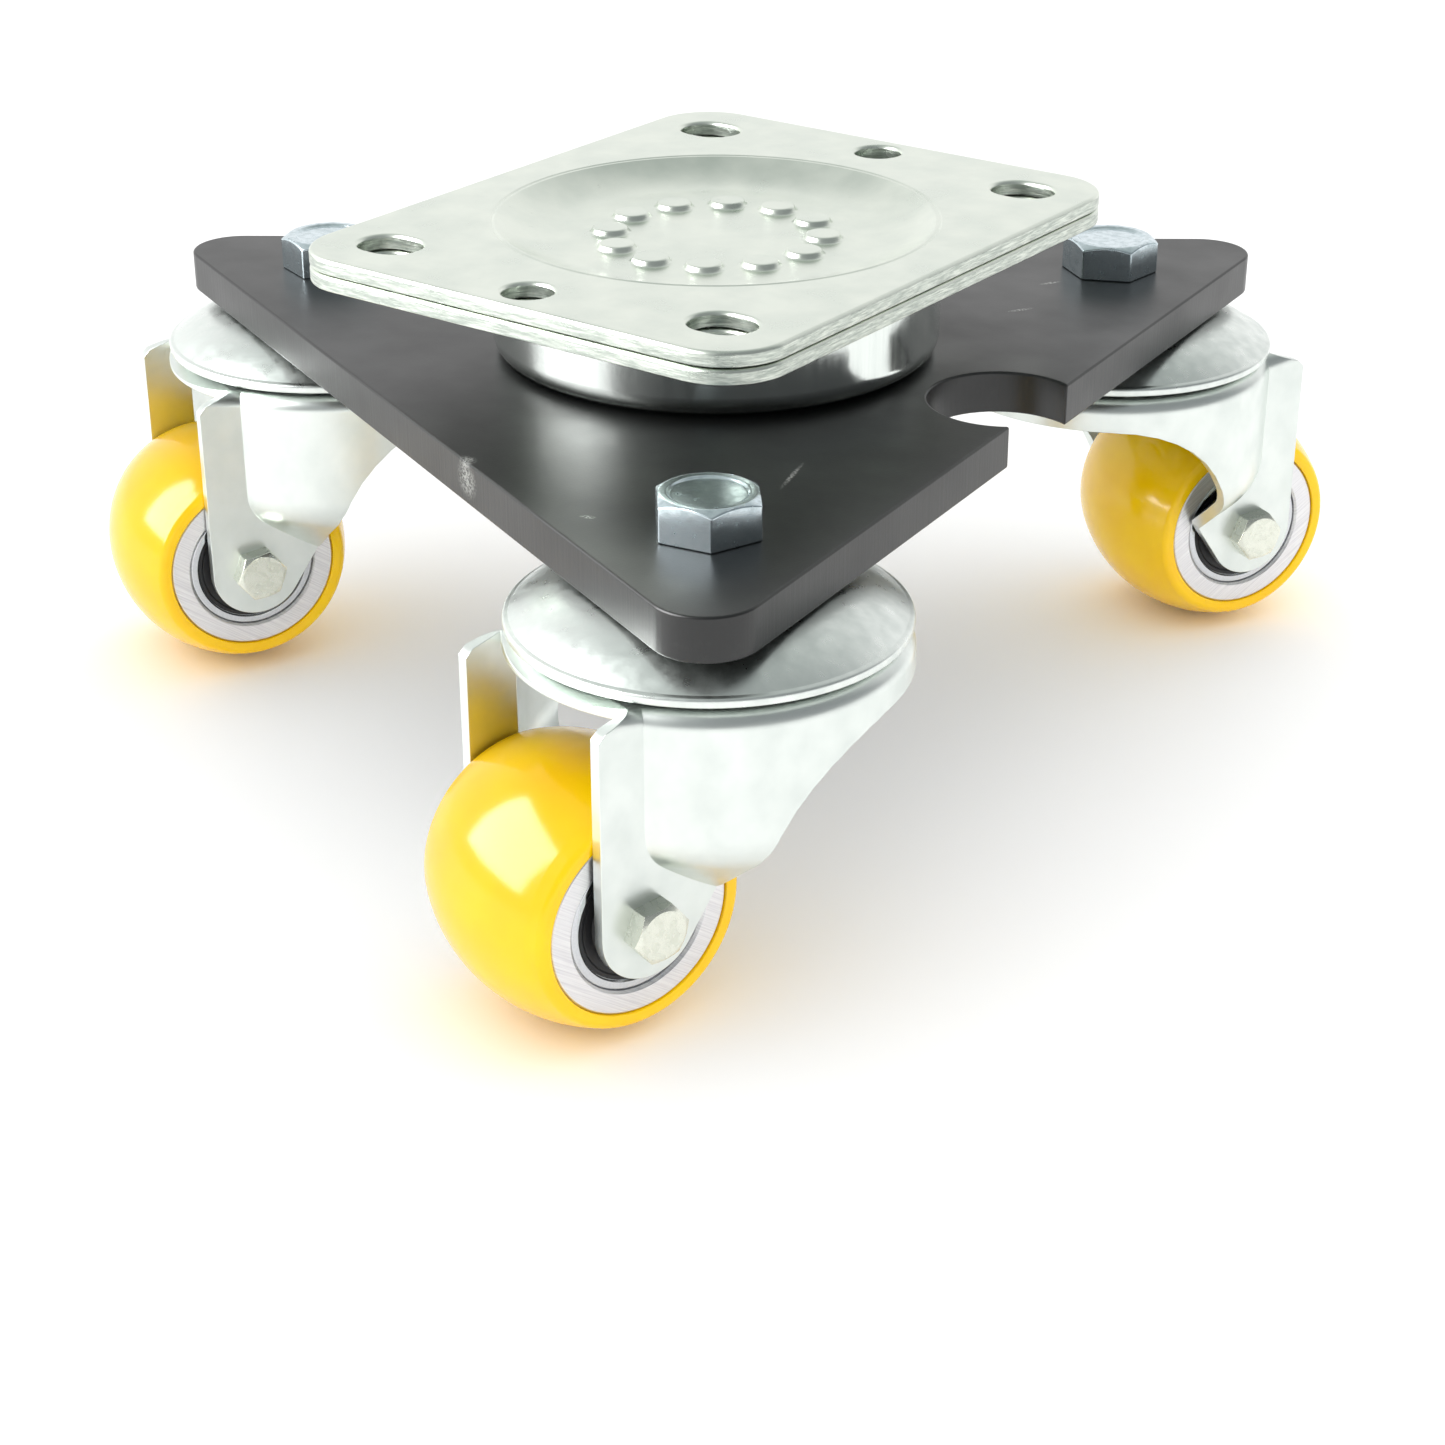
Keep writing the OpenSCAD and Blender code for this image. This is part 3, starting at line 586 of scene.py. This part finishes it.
def roundedRectangle(halfX, halfY, radius, inset):
    # the same number of points for every inset, so that two of them can be joined by a strip
    points = []
    for quarter, (sx, sy) in enumerate([(1, 1), (-1, 1), (-1, -1), (1, -1)]):
        centre = (sx * (halfX - radius), sy * (halfY - radius))
        start = quarter * math.pi / 2
        points += arcPoints(centre, radius - inset, start, start + math.pi / 2, 14)
    return points


def obround(centre, width, length, inset):
    reach = (length - width) / 2
    right = arcPoints((centre[0] + reach, centre[1]), width / 2 - inset, -math.pi / 2, math.pi / 2, 18)
    left = arcPoints((centre[0] - reach, centre[1]), width / 2 - inset, math.pi / 2, 1.5 * math.pi, 18)
    return right + left


def circlePoints(centre, radius, segments):
    return arcPoints(centre, radius, 0, 2 * math.pi, segments)[:-1]


def edgeSteps(top, bottom):
    # (inset, height) down the sheared edge
    steps = []
    for k in range(5):
        a = k / 4 * math.pi / 2
        steps.append((plate["rollover"] * (1 - math.sin(a)), top - plate["rollover"] * (1 - math.cos(a))))
    for k in range(3):
        a = k / 2 * math.pi / 2
        steps.append((plate["burr"] * (1 - math.cos(a)), bottom + plate["burr"] * (1 - math.sin(a))))
    return steps


def dishOutline(face):
    floor, rim, depth = plate["dishFloor"], plate["dishRadius"], plate["dishDepth"]
    line, dip = plate["rimLine"], plate["rimDip"]
    outline = [(plate["border"], face), (rim + 1.3, face, 0.2), (rim + 0.9, face - line, 0.3),
               (rim + 0.4, face - dip / 3, 0.3), (rim, face - dip, 0.3)]
    for radius in range(rim - 1, floor, -1):
        part = (radius - floor) / (rim - floor)
        outline.append((radius, face - dip - (depth - dip) * (1 - part * part)))
    # the flat floor has two rings between its edge and its middle
    outline += [(radius, face - depth) for radius in (floor, 26, 13, 0)]
    return softCorners(outline)


def dishedPlate(name, node, withBosses):
    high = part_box(node)[1] / mm
    top, bottom = high.z, high.z - plate["thickness"]
    bm = bmesh.new()
    spacingX, spacingY, width, length = plate["slots"]
    pitch, diameter = plate["roundHoles"]
    # each opening gives its points for an inset
    openings = [lambda i: roundedRectangle(high.x, high.y, plate["cornerRadius"], i)]
    for sx in (-1, 1):
        for sy in (-1, 1):
            slot = (sx * spacingX / 2, sy * spacingY / 2)
            openings.append(lambda i, c=slot: obround(c, width, length, -i))
    for sy in (-1, 1):
        openings.append(lambda i, c=(0, sy * pitch / 2): circlePoints(c, diameter / 2 + i, 40))
    steps = edgeSteps(top, bottom)
    rims = {top: [], bottom: []}
    for opening in openings:
        loops = [[bm.verts.new((p.x * mm, p.y * mm, z * mm)) for p in opening(inset)]
                 for inset, z in steps]
        for upper, lower in zip(loops, loops[1:]):
            for k in range(len(upper)):
                n = (k + 1) % len(upper)
                bm.faces.new((upper[k], upper[n], lower[n], lower[k]))
        rims[top].append(loops[0])
        rims[bottom].append(loops[-1])
    for face in (top, bottom):
        rings = spin(bm, dishOutline(face))
        rims[face].append(rings[0])
        edges = []
        for loop in rims[face]:
            for k in range(len(loop)):
                pair = (loop[k], loop[(k + 1) % len(loop)])
                edges.append(bm.edges.get(pair) or bm.edges.new(pair))
        bmesh.ops.triangle_fill(bm, use_beauty=True, edges=edges)
    if withBosses:
        count, circle, radius, height = plate["bosses"]
        floor = top - plate["dishDepth"]
        # a hollow fillet at the foot, which starts just under the floor, and a rounded flat top
        outline = softCorners([
            (radius + 1.1, floor - 0.05), (radius + 0.1, floor + 0.03, 0.8),
            (radius - 0.45, floor + height - 0.02, 0.55), (radius - 1.6, floor + height),
            (0, floor + height)])
        for k in range(count):
            boss = bmesh.new()
            spin(boss, outline, 40)
            angle = 2 * math.pi * k / count
            middle = Vector((math.cos(angle), math.sin(angle), 0)) * circle * mm
            boss.transform(Matrix.Translation(middle))
            part = bpy.data.meshes.new("boss")
            boss.to_mesh(part)
            boss.free()
            bm.from_mesh(part)
            bpy.data.meshes.remove(part)
    makePiece(name, bm, sheetZinc, Matrix(), "mounting_head", "zinc_sheet", node)


dishedPlate("mountingPlateUpper", "upper_plate", True)
dishedPlate("mountingPlateLower", "lower_plate", False)
print("mounting plates made")


# ---- drum ----

drumShape = {
    "wall": 2.5,
    "bend": 4.5,  # the drawing radius at the foot
    "lip": 0.9,  # the round of the rim outside, and inside
    "lipInside": 0.5,
    "bore": 13.05,
}


def drawnDrum():
    low, high = (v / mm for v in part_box("drum"))
    radius, wall, bend = high.x, drumShape["wall"], drumShape["bend"]
    outline = softCorners([
        (drumShape["bore"], low.z), (radius, low.z, bend), (radius, high.z - 0.1, drumShape["lip"]),
        (radius - wall, high.z, drumShape["lipInside"]), (radius - wall, low.z + wall, bend - wall),
        (drumShape["bore"], low.z + wall)], 8)
    bm = bmesh.new()
    spin(bm, outline, 128, closed=True)
    makePiece("drawnDrum", bm, drumZinc, Matrix(), "chassis", "zinc_sheet", "drum")


drawnDrum()


# ---- castor heads and forks ----

capShape = {
    "sheet": 2.2,
    "flat": 17,  # radius of the flat middle under the base plate
    "drop": 6,  # from the flat down to the brim
    "lip": 1.0,  # width of the rolled brim outside the dome
    "brim": 3.3,  # width of the brim's underside
    "bore": 9.5,
}
forkShape = {
    "crownBend": 3.4,  # radius of the fold from the crown into the bell and legs
    "bell": 36.6,  # outer radius of the bell
    "crownReach": 36,  # crown edges further out than this are folded
    "legGap": 14.9,  # adds to an edge's distance from the middle, so that the legs' folds count too
    "rimBelow": 15,  # the bell's lower rim is further than this below the crown
    "rimBend": 3.0,
    "edge": 0.55,  # radius of the cut edges
}


def domedCap(corner):
    low, high = (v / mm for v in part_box("cap_" + corner))
    radius, top, rim = (high.x - low.x) / 2, high.z, low.z
    reach = radius - capShape["lip"] - capShape["flat"]
    sphere = (reach ** 2 + capShape["drop"] ** 2) / (2 * capShape["drop"])
    dome = [(capShape["flat"] + reach * k / 12, top - sphere + math.sqrt(sphere ** 2 - (reach * k / 12) ** 2))
            for k in range(13)]
    inner = [(r - 0.6, z - capShape["sheet"]) for r, z in reversed(dome[:-1])]
    brim = [dome[-1] + (0.5,), (radius, top - capShape["drop"] - 0.35, 0.75), (radius, rim, 0.5),
            (radius - capShape["brim"], rim, 0.4)]
    outline = [(capShape["bore"], top)] + dome[:-1] + brim + inner + [
        (capShape["bore"], top - capShape["sheet"])]
    bm = bmesh.new()
    spin(bm, softCorners(outline), 128, closed=True)
    pivot = joints["swivel_" + corner]["pos_m"]
    makePiece("pressedCap." + corner, bm, capZinc, Matrix.Translation((pivot[0], pivot[1], 0)), "chassis",
              "zinc_sheet", "cap_" + corner)


def pressedFork(corner):
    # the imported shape, with its crown's outer edge folded to a real bend
    place = castorSpace(corner)
    bm = bmesh.new()
    bm.from_mesh(nodes["fork_" + corner].data)
    bm.transform(place.inverted())
    bmesh.ops.remove_doubles(bm, verts=bm.verts, dist=weldDistance * mm)
    bmesh.ops.dissolve_limit(bm, angle_limit=math.radians(flatAngle), verts=bm.verts, edges=bm.edges)
    top = max(v.co.z for v in bm.verts)
    fold = []
    for edge in bm.edges:
        a, b = (v.co for v in edge.verts)
        middle = (a + b) / 2
        reach = max(middle.xy.length, abs(middle.y) + forkShape["legGap"] * mm)
        onCrown = min(a.z, b.z) > top - 0.01 * mm
        if onCrown and reach > forkShape["crownReach"] * mm and edge.calc_face_angle(0) > 1:
            fold.append(edge)
    bmesh.ops.bevel(bm, geom=fold, offset=forkShape["crownBend"] * mm, segments=7, profile=0.5,
                    affect="EDGES", offset_type="OFFSET", clamp_overlap=False)
    # the bell's lower rim, where it turns in under the legs
    rim = []
    for edge in bm.edges:
        a, b = (v.co for v in edge.verts)
        onBell = all(abs(p.xy.length - forkShape["bell"] * mm) < 0.1 * mm for p in (a, b))
        lowAndLevel = abs(a.z - b.z) < 0.05 * mm and a.z < top - forkShape["rimBelow"] * mm
        if onBell and lowAndLevel and edge.calc_face_angle(0) > 0.2:
            rim.append(edge)
    bmesh.ops.bevel(bm, geom=rim, offset=forkShape["rimBend"] * mm, segments=6, profile=0.5,
                    affect="EDGES", offset_type="OFFSET", clamp_overlap=True)
    piece = makePiece("pressedFork." + corner, bm, forkZinc, place, "fork_body_" + corner, "zinc_sheet",
                      "fork_" + corner)
    roundEdges(piece, forkShape["edge"], sharpAngle)
    piece.modifiers.move(1, 0)  # before the shading


# ---- wheels ----

wheelShape = {
    "treadRadius": (18.5, 25.5),  # inside, and over the crown
    "treadHalf": 18.8,
    "crown": 40.7,  # radius of the crown's arc across the tread
    "crownHalf": 16,  # how far the arc reaches to each side before the shoulder
    "shoulder": 2.3,
    "hubHalf": 18.5,
    "hubChamfer": 0.45,
    "bore": 14.0,  # radius of the bearing seat
    "seat": 0.6,  # how far the bearing sits below the hub's face
    "bearingWidth": 8,
    # outer and inner radius, and for the seal its depth below the rings' faces
    "outerRing": (14.0, 12.1),
    "innerRing": (8.0, 6.0),
    "seal": (12.1, 8.1, 0.45),
}


def eachSide(bm, outline):
    # the same closed ring at both ends of the wheel
    for side in (1, -1):
        spin(bm, softCorners([(p[0], p[1] * side, *p[2:]) for p in outline], 3), closed=True)


def crownedTyre(corner):
    (inner, outer), half, crown = wheelShape["treadRadius"], wheelShape["treadHalf"], wheelShape["crown"]
    arc = [(outer - crown + math.sqrt(crown ** 2 - z ** 2), z)
           for z in (wheelShape["crownHalf"] * math.sin(math.pi / 2 * k / 12) for k in range(-12, 13))]
    edge = outer - crown + math.sqrt(crown ** 2 - half ** 2)
    outline = softCorners(
        [(inner, 0), (inner, -half, 0.3), (edge, -half, wheelShape["shoulder"])] + arc
        + [(edge, half, wheelShape["shoulder"]), (inner, half, 0.3), (inner, 0)], 8)
    bm = bmesh.new()
    spin(bm, outline[:-1], 144, closed=True)
    makePiece("crownedTyre." + corner, bm, treadYellow, wheelSpace(corner), "wheel_" + corner, "polyurethane",
              "tyre_" + corner)


def turnedWheel(corner):
    place, body = wheelSpace(corner), "wheel_" + corner
    low, high = (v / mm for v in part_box("hub_" + corner))
    half, radius = wheelShape["hubHalf"], (high.z - low.z) / 2
    bore, cut = wheelShape["bore"], wheelShape["hubChamfer"]
    seat = half - wheelShape["seat"] - wheelShape["bearingWidth"]
    hub = bmesh.new()
    spin(hub, softCorners([
        (bore, 0), (bore, half - cut), (bore + cut, half, 0.1), (radius - cut, half, 0.25),
        (radius, half - cut, 0.25), (radius, 0), (radius, cut - half, 0.25), (radius - cut, -half, 0.25),
        (bore + cut, -half, 0.1), (bore, cut - half)], 3), 128, closed=True)
    sanding = hub.loops.layers.uv.new("sanding")
    for loop in (loop for face in hub.faces for loop in face.loops):
        loop[sanding].uv = loop.vert.co.xy
    makePiece("turnedHub." + corner, hub, hubMetal, place, body, "aluminium", "hub_" + corner)
    face = seat + wheelShape["bearingWidth"]
    outer, inner = wheelShape["outerRing"]
    rings = bmesh.new()
    eachSide(rings, [
        (inner, seat, 0), (outer, seat, 0.4), (outer, face, 0.55), (inner + 0.35, face, 0.15),
        (inner + 0.1, face - 0.45, 0.1), (inner, face - 0.5)])
    makePiece("bearingRings." + corner, rings, bearingMetal, place, body, "bearing_steel",
              "outer_rings_" + corner)
    outer, inner, deep = wheelShape["seal"]
    seals = bmesh.new()
    front, groove = face - deep, face - deep - 0.25
    eachSide(seals, [
        (inner, front - 1), (outer, front - 1), (outer, front), (outer - 0.7, front, 0.2),
        (outer - 1.0, groove, 0.2), (inner + 1.1, groove, 0.2), (inner + 0.8, front, 0.2), (inner, front)])
    makePiece("lipSeals." + corner, seals, sealRubber, place, body, "seal_rubber", "seals_" + corner)
    outer, inner = wheelShape["innerRing"]
    races = bmesh.new()
    eachSide(races, [(inner, seat), (outer, seat), (outer, face, 0.3), (inner, face, 0.4)])
    makePiece("innerRings." + corner, races, bearingMetal, place, "fork_body_" + corner, "bearing_steel",
              "inner_rings_" + corner)


# radius of each remaining node's softened edges in mm
for name, material, width in [
    ("king_pin", machinedMetal, 0.5), ("king_washer", boltZinc, 0.4), ("king_nut", boltZinc, 0.5),
    ("drum_race", machinedMetal, 0), ("king_bush", bronzeMetal, 0),
    ("base_plate", platingBlack, 0.5), ("castor_bolts", boltZinc, 0.3),
    ("castor_washers", boltZinc, 0), ("castor_nuts", boltZinc, 0.4),
    ("king_rivets", machinedMetal, 0), ("lower_races", machinedMetal, 0),
    ("turntable_balls", bearingMetal, 0),
]:
    finishNode(name, material, width)

for corner in corners:
    domedCap(corner)
    pressedFork(corner)
    crownedTyre(corner)
    turnedWheel(corner)
    for name, material, width in [
        ("spacer", machinedMetal, 0), ("axle_tube", machinedMetal, 0),
        ("axle_bolt", axleZinc, 0.25), ("axle_nut", axleZinc, 0.3),
        ("swivel_balls", bearingMetal, 0), ("bearing_balls", bearingMetal, 0),
    ]:
        finishNode(name + "_" + corner, material, width)
print("castors made")


# ---- studio ----

studio = {
    "floor": ("#f7f8f7", "#fdfdfd"),
    "floorSize": 8.0,  # m
    "floorCloud": 400,  # mm
    "screen": "#8f9395",  # a wide mid-grey screen at the front right, for the grey lines along the bends
    "ceiling": "#b8bebc",
    "brightness": 1.05,
    "keyPower": 14.0,  # W
    "keySize": (0.7, 0.66),  # m
    "keyLeft": 0.71,  # m, seen from the camera
    "keyNear": 0.17,  # m towards the camera
    "keyHeight": 0.36,  # m above the plate's face
    "shadowless": 1.35,  # how bright the white tent is for matt surfaces
}


def paleFloor():
    mesh = bpy.data.meshes.new("floor")
    half = studio["floorSize"] / 2
    edge = [(-half, -half, 0), (half, -half, 0), (half, half, 0), (-half, half, 0)]
    mesh.from_pydata(edge, [], [(0, 1, 2, 3)])
    floor = bpy.data.objects.new("floor", mesh)
    bpy.context.collection.objects.link(floor)
    floor.location.z = cadBox[0].z
    made, tree, shader, place = newMaterial("paintedFloor", Roughness=0.7)
    soft = addNode(tree, "ShaderNodeTexNoise", {"Vector": place, "Scale": per(studio["floorCloud"])})
    dull, pale = studio["floor"]
    colour = addNode(tree, "ShaderNodeMix", {
        0: soft, 6: hexColour(dull), 7: hexColour(pale)}, 2, data_type="RGBA")
    finishShader(tree, shader, Base_Color=colour)
    mesh.materials.append(made)


def reflectionCard(name, place, size, power, aim):
    # a softbox that only shows in reflections; the tent lights everything else
    light = bpy.data.lights.new(name, "AREA")
    light.shape = "RECTANGLE"
    light.size, light.size_y = size
    light.energy = power
    lamp = bpy.data.objects.new(name, light)
    lamp.location = place
    lamp.rotation_euler = (aim - place).to_track_quat("-Z", "Y").to_euler()
    lamp.visible_diffuse = False
    bpy.context.collection.objects.link(lamp)


def studioWorld(screenSide):
    # a white tent with a greyer roof and one grey screen above the floor
    world = bpy.data.worlds.new("studio")
    world.use_nodes = True
    tree = world.node_tree
    look = addNode(tree, "ShaderNodeTexCoord", {}, "Generated")
    up = addNode(tree, "ShaderNodeSeparateXYZ", {"Vector": look}, "Z")
    ahead = addNode(tree, "ShaderNodeVectorMath", {
        0: look, 1: screenSide}, "Value", operation="DOT_PRODUCT")
    front = addNode(tree, "ShaderNodeMapRange", {"Value": ahead, "From Min": -0.05, "From Max": 0.45})
    above = addNode(tree, "ShaderNodeMapRange", {"Value": up, "From Min": 0.02, "From Max": 0.14})
    dim = addNode(tree, "ShaderNodeMath", {0: front, 1: above}, operation="MULTIPLY")
    high = addNode(tree, "ShaderNodeMapRange", {"Value": up, "From Min": 0.42, "From Max": 0.9})
    walls = addNode(tree, "ShaderNodeMix", {
        0: high, 6: hexColour("#ffffff"), 7: hexColour(studio["ceiling"])}, 2, data_type="RGBA")
    colour = addNode(tree, "ShaderNodeMix", {
        0: dim, 6: walls, 7: hexColour(studio["screen"])}, 2, data_type="RGBA")
    # matt surfaces and the camera see an even white tent; its darker parts only show in gloss
    matt = addNode(tree, "ShaderNodeLightPath", {}, "Is Diffuse Ray")
    seen = addNode(tree, "ShaderNodeLightPath", {}, "Is Camera Ray")
    plain = addNode(tree, "ShaderNodeMath", {0: matt, 1: seen}, operation="MAXIMUM")
    shown = addNode(tree, "ShaderNodeMix", {
        0: plain, 6: colour, 7: hexColour("#ffffff")}, 2, data_type="RGBA")
    strength = addNode(tree, "ShaderNodeMapRange", {
        "Value": matt, "To Min": studio["brightness"], "To Max": studio["shadowless"]})
    tree.links.new(shown, tree.nodes["Background"].inputs["Color"])
    tree.links.new(strength, tree.nodes["Background"].inputs["Strength"])
    bpy.context.scene.world = world


view = {
    "azimuth": math.radians(36.14),
    "elevation": math.radians(26.81),
    "distance": 564.8 * mm,
    "lens": 70.24,  # on a 36 mm sensor
    "across": 1.3 * mm,
    "above": -101.5 * mm,
}


def viewCamera():
    az, el = view["azimuth"], view["elevation"]
    back = Vector((math.sin(az) * math.cos(el), -math.cos(az) * math.cos(el), math.sin(el)))
    right = Vector((math.cos(az), math.sin(az), 0))
    up = back.cross(right)
    data = bpy.data.cameras.new("camera")
    data.lens = view["lens"]
    data.sensor_width = 36
    data.clip_start = 0.01
    camera = bpy.data.objects.new("camera", data)
    camera.location = back * view["distance"] + right * view["across"] + up * view["above"]
    camera.rotation_euler = back.to_track_quat("Z", "Y").to_euler()
    bpy.context.collection.objects.link(camera)
    bpy.context.scene.camera = camera
    return back, right


paleFloor()
back, right = viewCamera()
side = Vector((back.x, back.y, 0)).normalized()
studioWorld(side * 0.8 + right * 0.6)  # the screen stands at the front right
frontWheel = Vector(joints["wheel_spin_front"]["pos_m"])
keyPlace = side * studio["keyNear"] - right * studio["keyLeft"] + Vector((0, 0, studio["keyHeight"]))
reflectionCard("key", keyPlace, studio["keySize"], studio["keyPower"], frontWheel)
bpy.context.scene.view_settings.view_transform = "Standard"
print("studio lit")
